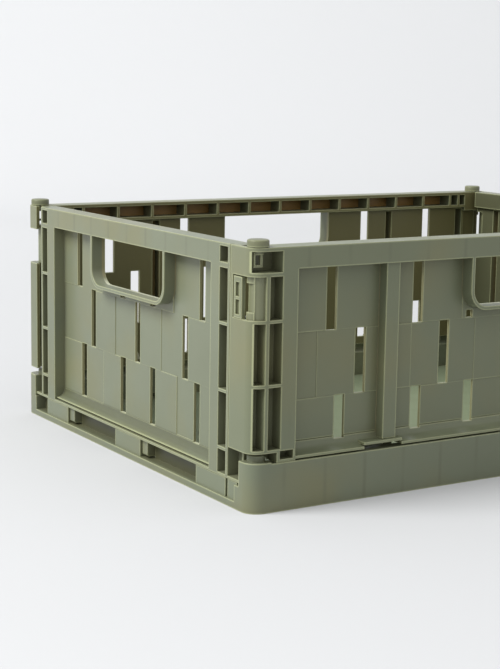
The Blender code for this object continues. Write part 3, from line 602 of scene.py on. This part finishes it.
def add_tray_corner(tray, side_x, side_y):
    """A block rounded outside, a lower step on the end side, and a peg on top."""
    radius = corner_radius(side_x, side_y)
    block = [(-HALF_X + 13.6, -HALF_Y), (-HALF_X + 13.6, -137.5), (-HALF_X, -137.5)]
    block += arc(-HALF_X + radius, -HALF_Y + radius, radius, 180, 270, 7)
    block = [(-side_x * x, -side_y * y) for x, y in block]
    union(tray, prism(block, "z", 0.4, 28.4),
          boxes((side_x * (HALF_X - 9.0), side_x * HALF_X, side_y * 133.0, side_y * 138.0,
                 0.4, 13.8)),
          turned([(5.1, 28.0), (5.1, 31.5), (4.6, 32.0)],
                 side_x * (HALF_X - 9.2), side_y * (HALF_Y - 9.4), 24))


def add_end_rail(tray, end):
    """End rail with a lip along the ground and a hinge boss at each window."""
    union(tray, boxes((end * (HALF_X - 1.3), end * (HALF_X - 9.4), -134.0, 134.0,
                       0.4, RAIL_TOP)),
          boxes((end * (HALF_X - 3.0), end * HALF_X, -140.0, 140.0, 0.4, BAND_TOP)))
    for _, far_edge in WINDOWS:
        union(tray, prism(circle(-end * LEFT_HINGE_X, LEFT_HINGE_Z, 4.4, 20), "y",
                          -end * (far_edge - 0.5), -end * (far_edge + 7.0)))


def add_side_lug(tray, side_x, side_y):
    """Lug of a long wall's hinge."""
    lug = [(-141.5, 8.0), (-132.3, 8.0)]
    lug += arc(FRONT_HINGE_Y, FRONT_HINGE_Z, 3.9, 0, 180, 14)
    lug += [(-141.5, 23.0)]
    lug = [(-side_y * y, z) for y, z in lug]
    union(tray, prism(lug, "x", side_x * 102.8, side_x * 118.8))


def cut_end_rail(tray, end):
    """Windows, lug openings, groove, recess at the rail's far end, and hinge bores."""
    def rail_cut(depth, start, stop):
        return (end * (HALF_X + 1), end * (HALF_X - depth), -end * start, -end * stop,
                BAND_TOP, RAIL_TOP + 0.6)

    openings = [rail_cut(13.5, lug[0] - 0.7, window[1]) for window, lug in zip(WINDOWS, LUGS)]
    groove = rail_cut(4.0, GROOVE_Y - 1.2, GROOVE_Y + 1.2)
    recess = rail_cut(7.0, 120.0, 136.4)
    cut(tray, boxes(*[rail_cut(7.8, *window) for window in WINDOWS]),
        boxes(*openings, groove, recess))
    for _, far_edge in WINDOWS:
        cut(tray, prism(circle(-end * LEFT_HINGE_X, LEFT_HINGE_Z, BORE_R, 16), "y",
                        -end * (far_edge - 1.0), -end * (far_edge + 5.6)))


def cut_tray_underside(tray):
    # hollow long sides divided by ribs
    pockets = []
    for side in (-1, 1):
        for i in range(13):
            start = TRAY_RIB_START + i * TRAY_RIB_PITCH + 0.9
            pockets.append((start, start + 25.6, side * 147.6, side * 141.2, -1.0, 19.5))
    cut(tray, boxes(*pockets))
    # hollow corners
    cut(tray, boxes(*[(side_x * (HALF_X - 3.5), side_x * (HALF_X - 11.4),
                       side_y * (HALF_Y - 3.5), side_y * (HALF_Y - 10.2), -1.0, 24.5)
                      for side_x, side_y in CORNERS]))
    # shallow coffers under the floor, leaving a grid of ribs
    count_x, count_y = 8, 6
    half_x, half_y, half_rib = 180.0, 132.0, 2.0
    pitch_x, pitch_y = 2 * half_x / count_x, 2 * half_y / count_y
    coffers = []
    for i in range(count_x):
        for j in range(count_y):
            x, y = -half_x + i * pitch_x, -half_y + j * pitch_y
            coffers.append((x + half_rib, x + pitch_x - half_rib,
                            y + half_rib, y + pitch_y - half_rib, -1.0, 1.4))
    cut(tray, boxes(*coffers))


def build_tray():
    tray = prism(floor_outline(), "z", 0.0, 3.4)
    side_profile = [(-HALF_Y, 0.4), (-139.0, 0.4), (-139.0, 21.6), (-142.0, 24.6),
                    (-142.0, SIDE_TOP), (-HALF_Y, SIDE_TOP)]
    for side in (-1, 1):
        profile = [(-side * y, z) for y, z in side_profile]
        union(tray, prism(profile, "x", -HALF_X + WIDE_R, HALF_X - WIDE_R))
    for side_x, side_y in CORNERS:
        add_tray_corner(tray, side_x, side_y)
    for end in (-1, 1):
        add_end_rail(tray, end)
    for side_x, side_y in CORNERS:
        add_side_lug(tray, side_x, side_y)
    for end in (-1, 1):
        cut_end_rail(tray, end)
    for side_x, side_y in CORNERS:
        bore = circle(-side_y * FRONT_HINGE_Y, FRONT_HINGE_Z, BORE_R, 16)
        cut(tray, prism(bore, "x", side_x * 101.0, side_x * 120.5))
    cut_tray_underside(tray)
    return tray


# ---------------------------------------------------------------- small parts
def build_clip():
    """A plate on a vertical pivot, with two shallow recesses in its outer face."""
    bottom, top = CLIP_Z
    clip = boxes((-HALF_X + 0.1, -HALF_X + 2.5, *CLIP_Y, bottom, top))
    union(clip,
          boxes((-HALF_X + 2.0, PIVOT_X + 0.2, -131.3, PIVOT_Y, bottom + 0.6, top - 0.6)),
          prism(circle(PIVOT_X, PIVOT_Y, 1.4, 16), "z", bottom + 0.3, top - 0.3),
          prism(circle(PIVOT_X, PIVOT_Y, 0.85, 12), "z", bottom - 2.6, top + 2.6))
    recess = (-HALF_X - 1, -HALF_X + 1.5, -135.6, -131.5)
    cut(clip, boxes((*recess, 109.5, 117.6), (*recess, 119.4, 127.2)))
    return clip


def build_knob():
    """The front left knob: a round cap on a stem."""
    x, y = -HALF_X + KNOB_INSET, -HALF_Y + KNOB_INSET
    knob = turned([(3.2, 143.0), (3.2, RIM_TOP + 0.3), (KNOB_R, RIM_TOP + 0.3),
                   (KNOB_R, KNOB_TOP - 0.8), (KNOB_R - 0.25, KNOB_TOP - 0.3),
                   (KNOB_R - 0.9, KNOB_TOP)], x, y, 32)
    # fork below the corner block's top: two legs joined at the bottom
    union(knob, boxes((x - 3.6, x + 2.0, y - 1.6, y - 0.2, 136.0, 144.2)))
    cut(knob, boxes((x - 2.6, x + 0.6, y - 3.0, y + 1.0, 137.4, 142.8)))
    return knob


# ---------------------------------------------------------------- shader helper
class Shader:
    """A material being built; node inputs take either a value or another node's output."""

    def __init__(self, name, seed=0.0):
        self.material = bpy.data.materials.new(name)
        self.material.use_nodes = True
        self.nodes = self.material.node_tree.nodes
        self.links = self.material.node_tree.links
        self.coordinates = self.nodes.new("ShaderNodeTexCoord").outputs
        self.seed = seed

    def feed(self, node, inputs):
        for socket, value in inputs.items():
            if isinstance(value, bpy.types.NodeSocket):
                self.links.new(value, node.inputs[socket])
            else:
                node.inputs[socket].default_value = value

    def feed_surface(self, inputs):
        self.feed(self.nodes["Principled BSDF"], inputs)

    def node(self, kind, inputs, **settings):
        """Adds a node and returns its outputs."""
        node = self.nodes.new("ShaderNode" + kind)
        for setting, value in settings.items():
            setattr(node, setting, value)
        self.feed(node, inputs)
        return node.outputs

    def noise(self, scale, detail, roughness=0.5):
        return self.node("TexNoise", {"Scale": scale, "Detail": detail, "Roughness": roughness,
                                      "Vector": self.coordinates["Object"]})["Fac"]

    def remap(self, value, span, to=(0.0, 1.0), easing="LINEAR"):
        """Maps a span of values to another, clamped; either may run downwards."""
        return self.node("MapRange", {"Value": value, "From Min": span[0], "From Max": span[1],
                                      "To Min": to[0], "To Max": to[1]},
                         interpolation_type=easing)["Result"]

    def math(self, operation, *values):
        return self.node("Math", dict(enumerate(values)), operation=operation)[0]

    def product(self, first, *others):
        for other in others:
            first = self.math("MULTIPLY", first, other)
        return first

    def blend(self, colour, over, amount):
        # sockets 6 and 7 are the two colours, output 2 their mix
        return self.node("Mix", {0: amount, 6: colour, 7: (*over, 1.0)}, data_type="RGBA")[2]

    def occlusion(self, distance, **settings):
        return self.node("AmbientOcclusion", {"Distance": distance}, samples=6, **settings)["AO"]

    def read_surface(self):
        """Gives the tints below the direction and the place of each face."""
        self.normal = self.node("SeparateXYZ", {0: self.coordinates["Normal"]})
        self.place = self.node("SeparateXYZ", {0: self.coordinates["Object"]})

    def outward(self, axis):
        """How far a face looks away from the crate's middle along an axis: 1 fully, -1 inwards."""
        return self.product(self.normal[axis], self.math("SIGN", self.place[axis]))

    def distance(self, axis):
        """Distance from the crate's middle along an axis."""
        return self.math("ABSOLUTE", self.place[axis])


# ---------------------------------------------------------------- plastic
OLIVE = (0.134, 0.149, 0.091)
WARM = (0.158, 0.156, 0.080)
# painted shade on the inward faces of the long and end walls
INSIDE_LONG_SHADE = (0.114, 0.102, 0.040)
INSIDE_END_SHADE = (0.062, 0.064, 0.034)
THIN = (0.340, 0.180, 0.036)
SLOT_SIDE = (0.240, 0.212, 0.108)
# painted highlight on the slot sills
SILL_HIGHLIGHT = (0.420, 0.430, 0.310)
# painted light on the tray's floor
TRAY_FLOOR_LIGHT = (0.180, 0.215, 0.135)
MARK = (0.104, 0.112, 0.070)
# painted shade in the end rails' recesses and windows
RECESS_SHADE = (0.046, 0.048, 0.024)
# painted shade on the sills in the end rails' windows
RECESS_SILL_SHADE = (0.062, 0.066, 0.036)
COVE_SHADE = (0.066, 0.072, 0.038)
# painted shade in pockets
CAVITY_SHADE = (0.090, 0.082, 0.038)
# painted highlight on convex edges
EDGE_HIGHLIGHT = (0.380, 0.400, 0.225)

# how squarely a face must look along an axis for its tint to fade in
FACING = (0.6, 0.9)
FACING_OUT = (0.7, 0.9)
FACING_IN = (-0.3, -0.8)
DOWN_TO_ZERO = (1.0, 0.0)


def sink_marks(shader, colour, along, pitch, phase, zone):
    """Faint darker marks where a rib meets the back of the outer face."""
    shifted = shader.math("ADD", shader.place[along], phase)
    from_rib = shader.math("PINGPONG", shifted, pitch / 2)
    line = shader.remap(from_rib, (0.0004, 0.0018), to=DOWN_TO_ZERO)
    patchy = shader.remap(shader.noise(scale=55.0 + shader.seed, detail=1.0),
                          (0.35, 0.65), to=(0.15, 0.55))
    return shader.blend(colour, MARK, shader.product(line, patchy, zone))


def cove_shade(shader, colour, depth, face):
    """The upper part of the end walls' cove lies in the shade of the panel."""
    band = shader.product(
        shader.remap(shader.place["Z"], (0.0182, 0.0198), to=(0.0, 0.75)),
        shader.remap(shader.place["Z"], (0.0252, 0.0240)),
        shader.remap(depth, (face - 0.0012, face - 0.0016)),
        shader.remap(shader.distance("Y"), (0.1070, 0.1060)))
    return shader.blend(colour, COVE_SHADE, band)


def wall_tints(shader, colour, axis, across, face, panel, rib_pitch, inside, slot_reach):
    """Marks on the rim, painted shade inside, and paler slots with painted highlight on their
    sills, on a wall that faces the axis.

    face and panel are distances from the crate's middle; slots lie within slot_reach of it.
    """
    shader.read_surface()
    rim = shader.product(shader.remap(shader.place["Z"], (0.1352, 0.1358)),
                         shader.remap(shader.outward(axis), FACING_OUT))
    colour = sink_marks(shader, colour, across, rib_pitch, 0.0, rim)
    depth = shader.distance(axis)
    # inward faces: painted shade, browned as by light that has come through the plastic
    inwards = shader.remap(shader.outward(axis), FACING_IN)
    colour = shader.blend(colour, inside, shader.product(inwards, 0.9))
    # backs of the rim channel and of the hollow stiles: thin, so light comes through them
    near_face = shader.remap(depth, (face - 0.0045, face - 0.0035))
    colour = shader.blend(colour, THIN, shader.product(inwards, near_face))
    if axis == "X":
        colour = cove_shade(shader, colour, depth, face)
    # side walls of the slots, paler, and painted highlight on their sills, which face up
    in_panel = shader.product(
        shader.remap(depth, (panel + 0.0004, panel + 0.0002)),
        shader.remap(shader.distance(across), (slot_reach + 0.001, slot_reach)),
        shader.remap(shader.place["Z"], (0.1346, 0.1340)))
    sideways = shader.remap(shader.math("ABSOLUTE", shader.normal[across]), FACING, to=(0.0, 0.8))
    colour = shader.blend(colour, SLOT_SIDE, shader.product(in_panel, sideways))
    upwards = shader.remap(shader.normal["Z"], FACING, to=(0.0, 0.8))
    return shader.blend(colour, SILL_HIGHLIGHT, shader.product(in_panel, upwards))


def long_wall_tints(shader, colour):
    return wall_tints(shader, colour, axis="Y", across="X", face=-FRONT_FACE * MM,
                      panel=-FRONT_PANEL * MM, rib_pitch=FRONT_RIB_PITCH * MM,
                      inside=INSIDE_LONG_SHADE, slot_reach=0.150)


def end_wall_tints(shader, colour):
    return wall_tints(shader, colour, axis="X", across="Y", face=-LEFT_FACE * MM,
                      panel=-LEFT_PANEL * MM, rib_pitch=LEFT_RIB_PITCH * MM,
                      inside=INSIDE_END_SHADE, slot_reach=0.092)


def tray_tints(shader, colour):
    """Marks on the long sides, painted light on the floor, and painted shade in the end rails'
    recesses and windows.
    """
    shader.read_surface()
    long_side = shader.remap(shader.outward("Y"), FACING_OUT)
    colour = sink_marks(shader, colour, "X", TRAY_RIB_PITCH * MM, -TRAY_RIB_START * MM, long_side)
    # upward faces of the floor inside the tray: painted light
    low = shader.remap(shader.place["Z"], (0.0046, 0.0040))
    within = shader.remap(shader.distance("X"), (0.1915, 0.1905))
    upwards = shader.remap(shader.normal["Z"], FACING)
    colour = shader.blend(colour, TRAY_FLOOR_LIGHT, shader.product(low, within, upwards))
    # faces looking out from behind the end rails' face: painted shade
    recess = shader.product(shader.remap(shader.outward("X"), FACING, to=(0.0, 0.85)),
                            shader.remap(shader.distance("X"), (0.1945, 0.1940)))
    colour = shader.blend(colour, RECESS_SHADE, recess)
    # upward faces low in the end rails' windows: painted shade
    under_rail = shader.product(
        shader.remap(shader.distance("X"), (0.1915, 0.1925), to=(0.0, 0.9)),
        shader.remap(shader.distance("X"), (0.1985, 0.1972)))
    shaded_sill = shader.product(shader.product(low, upwards), under_rail)
    return shader.blend(colour, RECESS_SILL_SHADE, shaded_sill)


def plastic(name, base, roughness, seed, tints=None):
    """Moulded olive plastic: mottled, finely grained, with painted highlight on edges and painted
    shade in pockets.
    """
    shader = Shader(name, seed)
    mottle = shader.remap(shader.noise(scale=9.0 + seed, detail=3.0),
                          (0.3, 0.7), to=(0.95, 1.05))
    colour = shader.node("VectorMath", {0: base, "Scale": mottle}, operation="SCALE")["Vector"]
    # patches that lean to yellow, where light comes through the wall from behind
    patches = shader.remap(shader.noise(scale=16.0 + seed, detail=2.0), (0.45, 0.68))
    colour = shader.blend(colour, WARM, shader.product(patches, 0.70))
    if tints:
        colour = tints(shader, colour)
    # pockets: painted shade, browned because the little light in there has passed through the
    # plastic
    hollow = shader.remap(shader.occlusion(distance=0.012), (0.20, 0.75), to=(0.5, 0.0))
    colour = shader.blend(colour, CAVITY_SHADE, hollow)
    # convex edges: painted highlight, paler and yellower
    edge = shader.remap(shader.occlusion(distance=0.0009, inside=True),
                        (0.60, 0.97), to=(0.62, 0.0))
    colour = shader.blend(colour, EDGE_HIGHLIGHT, edge)
    # fine moulded grain over softly rounded edges
    bevel = shader.node("Bevel", {"Radius": 0.0005}, samples=4)["Normal"]
    grain = shader.noise(scale=2600.0, detail=2.0, roughness=0.6)
    bump = shader.node("Bump", {"Strength": 0.05, "Distance": 0.0001, "Height": grain,
                                "Normal": bevel})["Normal"]
    sheen = shader.remap(shader.noise(scale=38.0, detail=2.0),
                         (0.35, 0.65), to=(roughness - 0.03, roughness + 0.04))
    shader.feed_surface({"Base Color": colour, "Normal": bump, "Roughness": sheen, "IOR": 1.46})
    return shader.material


MATERIALS = {
    "base_plastic": plastic("base_plastic_look", base=(0.136, 0.153, 0.100),
                            roughness=0.38, seed=0.7, tints=tray_tints),
    "long_wall_plastic": plastic("long_wall_plastic_look", base=OLIVE,
                                 roughness=0.36, seed=0.0, tints=long_wall_tints),
    "end_wall_plastic": plastic("end_wall_plastic_look", base=(0.140, 0.155, 0.102),
                                roughness=0.36, seed=1.9, tints=end_wall_tints),
    "clip_plastic": plastic("clip_plastic_look", base=(0.142, 0.154, 0.092),
                            roughness=0.36, seed=3.1),
    "knob_plastic": plastic("knob_plastic_look", base=(0.118, 0.126, 0.070),
                            roughness=0.38, seed=4.3),
}


# ---------------------------------------------------------------- placing the pieces
BODY_OF = {node: body
           for body, nodes in frame["record"]["behaviour"]["bodies"].items()
           for node in nodes}


def moved_copy(source, matrix):
    copy = bpy.data.objects.new("copy", source.data.copy())
    bpy.context.scene.collection.objects.link(copy)
    copy.data.transform(matrix)
    return copy


def place(obj, node, slot_name):
    """Names, shades and paints a piece, hangs it under its body and hides its node."""
    obj.name = node + "_look"
    obj.data.name = node + "_look"
    obj.data.shade_smooth()
    obj.data.set_sharp_from_angle(angle=SMOOTH_ANGLE)
    obj.data.materials.clear()
    obj.data.materials.append(MATERIALS[slot_name])
    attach(obj, BODY_OF[node])
    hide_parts(node)


def build_pieces():
    place(tidy(build_tray()), "base_tray", "base_plastic")
    for build, node, turned_node, slot_name in (
        (build_front_wall, "front_wall", "back_wall", "long_wall_plastic"),
        (build_left_wall, "left_end_wall", "right_end_wall", "end_wall_plastic"),
        (build_clip, "latch_clip_front_left", "latch_clip_back_right", "clip_plastic"),
    ):
        piece = tidy(build())
        opposite = moved_copy(piece, HALF_TURN)
        place(piece, node, slot_name)
        place(opposite, turned_node, slot_name)

    front_left = tidy(build_knob())
    across = Matrix.Translation(Vector((2 * (HALF_X - KNOB_INSET), 0, 0)) * MM)
    front_right = moved_copy(front_left, across)
    back_right = moved_copy(front_left, HALF_TURN)
    back_left = moved_copy(front_right, HALF_TURN)
    for knob, corner in ((front_left, "front_left"), (front_right, "front_right"),
                         (back_right, "back_right"), (back_left, "back_left")):
        place(knob, "stacking_knob_" + corner, "knob_plastic")


# ---------------------------------------------------------------- stage, in metres
# camera angles in radians; the backdrop is turned by the same yaw
YAW, PITCH, ROLL = 0.5554501, 0.1634211, 0.0162493
CAMERA_PLACE = (-0.626982, -0.837062, 0.237255)

# painted light: the paper is darker near the crate and brighter away from it, where the key light
# has fallen off
PAPER_NEAR, PAPER_FAR = 0.475, 0.63     # brightness near the crate and away from it
PAPER_TINT = {"Red": 0.988, "Green": 1.0, "Blue": 1.014}
# backdrop, along the view from the origin
FLOOR_FRONT, FLOOR_BACK, FLOOR_HALF_WIDTH = 16.0, 1.5, 9.0
SWEEP_R, SWEEP_STEPS, WALL_TOP = 1.2, 24, 3.6

KEY_PLACE, KEY_TARGET = (-2.25, 0.25, 2.35), (0, 0, 0.08)


def paper():
    """Pale matt paper, painted a little brighter with distance to make up for the key light
    falling off, so floor and wall read as one sheet.
    """
    shader = Shader("stage_paper")
    place_output = shader.coordinates["Object"]
    away = shader.node("VectorMath", {0: place_output}, operation="LENGTH")["Value"]
    brightness = shader.remap(away, (0.2, 2.0), to=(PAPER_NEAR, PAPER_FAR), easing="SMOOTHSTEP")
    mottle = shader.remap(shader.noise(scale=1.3, detail=2.0), (0.0, 1.0), to=(0.992, 1.008))
    # more painted light far out, where little key light reaches
    far_lift = shader.remap(away, (3.5, 8.0), to=(0.0, 0.26), easing="SMOOTHSTEP")
    shade = shader.product(shader.math("ADD", brightness, far_lift), mottle)
    channels = {name: shader.product(shade, share) for name, share in PAPER_TINT.items()}
    colour = shader.node("CombineColor", channels)["Color"]
    shader.feed_surface({"Base Color": colour, "Roughness": 0.9, "Specular IOR Level": 0.0})
    return shader.material


def backdrop():
    """A plain floor that curves up into a wall well behind the crate."""
    material = paper()
    profile = [(-FLOOR_FRONT, 0.0), (FLOOR_BACK, 0.0)]
    for i in range(1, SWEEP_STEPS + 1):
        angle = math.radians(90 * i / SWEEP_STEPS)
        profile.append((FLOOR_BACK + SWEEP_R * math.sin(angle), SWEEP_R * (1 - math.cos(angle))))
    profile.append((FLOOR_BACK + SWEEP_R, WALL_TOP))
    along = Vector((math.sin(YAW), math.cos(YAW), 0))
    sideways = Vector((math.cos(YAW), -math.sin(YAW), 0))
    draft = bmesh.new()
    left, right = [[draft.verts.new(along * reach + sideways * offset + Vector((0, 0, z)))
                    for reach, z in profile]
                   for offset in (-FLOOR_HALF_WIDTH, FLOOR_HALF_WIDTH)]
    for i in range(len(profile) - 1):
        draft.faces.new((left[i], right[i], right[i + 1], left[i + 1]))
    mesh = bpy.data.meshes.new("stage_floor")
    draft.to_mesh(mesh)
    draft.free()
    mesh.shade_smooth()
    obj = bpy.data.objects.new("stage_floor", mesh)
    bpy.context.scene.collection.objects.link(obj)
    mesh.materials.append(material)


def lights():
    """Even white surroundings and one large key light, high on the left."""
    world = bpy.data.worlds.new("studio")
    bpy.context.scene.world = world
    world.use_nodes = True
    background = world.node_tree.nodes["Background"]
    background.inputs["Color"].default_value = (1.0, 1.0, 1.0, 1.0)
    background.inputs["Strength"].default_value = 0.88

    light = bpy.data.lights.new("key", "AREA")
    light.shape = "RECTANGLE"
    light.size = 1.7
    light.size_y = 1.5
    light.energy = 136.0
    obj = bpy.data.objects.new("key", light)
    bpy.context.scene.collection.objects.link(obj)
    obj.location = KEY_PLACE
    direction = Vector(KEY_TARGET) - obj.location
    obj.rotation_euler = direction.to_track_quat("-Z", "Y").to_euler()
    obj.visible_camera = False


def camera():
    forward = Vector((math.sin(YAW) * math.cos(PITCH), math.cos(YAW) * math.cos(PITCH),
                      -math.sin(PITCH)))
    level_right = Vector((math.cos(YAW), -math.sin(YAW), 0.0))
    level_up = level_right.cross(forward)
    right = level_right * math.cos(ROLL) + level_up * math.sin(ROLL)
    up = level_up * math.cos(ROLL) - level_right * math.sin(ROLL)
    lens = bpy.data.cameras.new("camera")
    obj = bpy.data.objects.new("camera", lens)
    bpy.context.scene.collection.objects.link(obj)
    rows = [(right[i], up[i], -forward[i], CAMERA_PLACE[i]) for i in range(3)]
    obj.matrix_world = Matrix((*rows, (0, 0, 0, 1)))
    lens.sensor_width = 36.0
    lens.lens = 82.36
    lens.shift_x = -0.00267
    lens.shift_y = -0.00835
    lens.clip_start = 0.05
    lens.clip_end = 50.0
    bpy.context.scene.camera = obj


build_pieces()
backdrop()
lights()
camera()
bpy.context.scene.view_settings.view_transform = "Standard"
